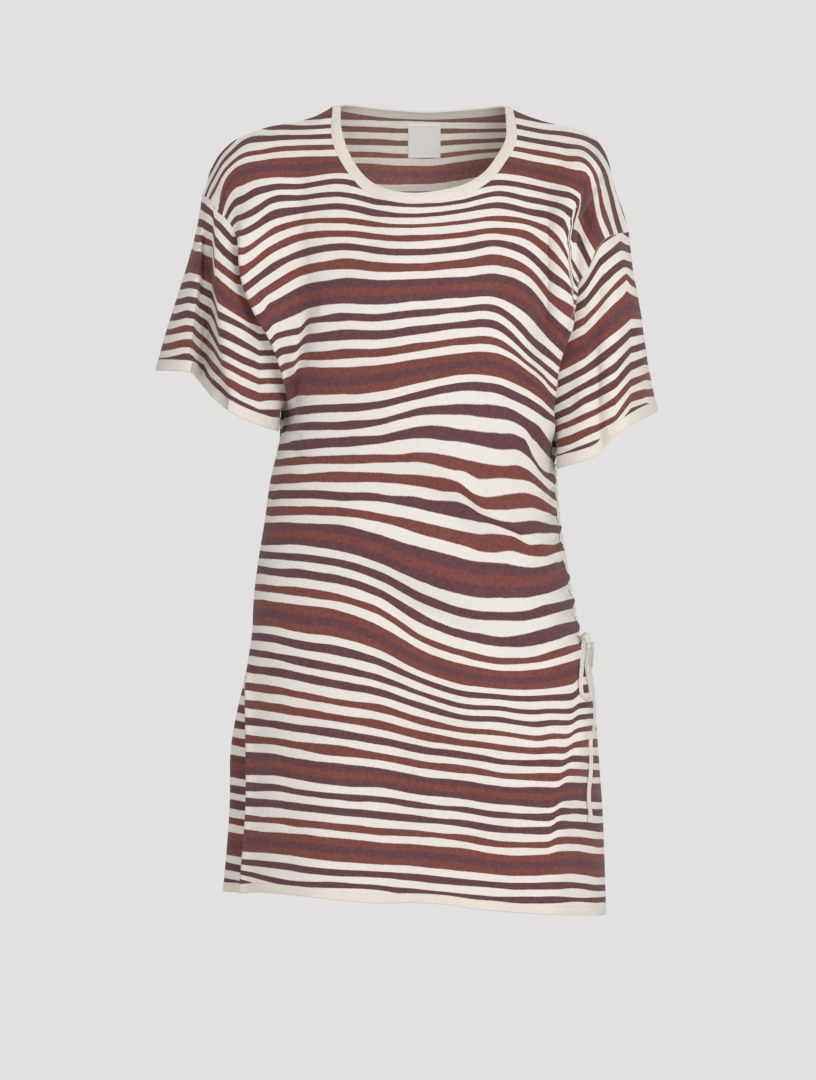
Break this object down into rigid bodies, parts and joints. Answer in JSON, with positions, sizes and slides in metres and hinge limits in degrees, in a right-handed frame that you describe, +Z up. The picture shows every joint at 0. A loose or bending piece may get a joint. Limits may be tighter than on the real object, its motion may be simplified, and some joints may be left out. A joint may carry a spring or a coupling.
{
  "type": "t-shirt dress",
  "caption": "Short-sleeved striped knit mini dress, worn and hollow, with a scoop neck, banded cuffs and hem, and one side seam gathered by a tied drawcord.",
  "frame": {"origin": "middle of the neck opening at the height of the shoulder seam's neck end, where the wearer's shoulders hold the dress", "axes": "+Z up along the wearer's spine, -Y out of the front of the dress, +X to the wearer's left, the gathered side"},
  "size_m": [0.5494, 0.2481, 0.8915],
  "materials": {
    "striped_knit": "fine matt jersey in cream with uneven maroon and plum stripes",
    "cream_knit": "matt cream jersey, doubled",
    "woven_label": "pale woven tape, bare",
    "cream_cord": "soft flat cotton cord"
  },
  "bodies": {
    "root": {"front_panel": "striped_knit", "back_panel": "striped_knit", "sleeve_right": "striped_knit", "sleeve_left": "striped_knit", "cuff_right": "cream_knit", "cuff_left": "cream_knit", "neckband": "cream_knit", "hem_band": "cream_knit", "drawcord_channel": "cream_knit", "label": "woven_label", "bow_knot": "cream_cord", "cord_end_long": "cream_cord", "cord_end_short": "cream_cord", "cord_loop_front": "cream_cord", "cord_loop_back": "cream_cord"}
  },
  "joints": []
}
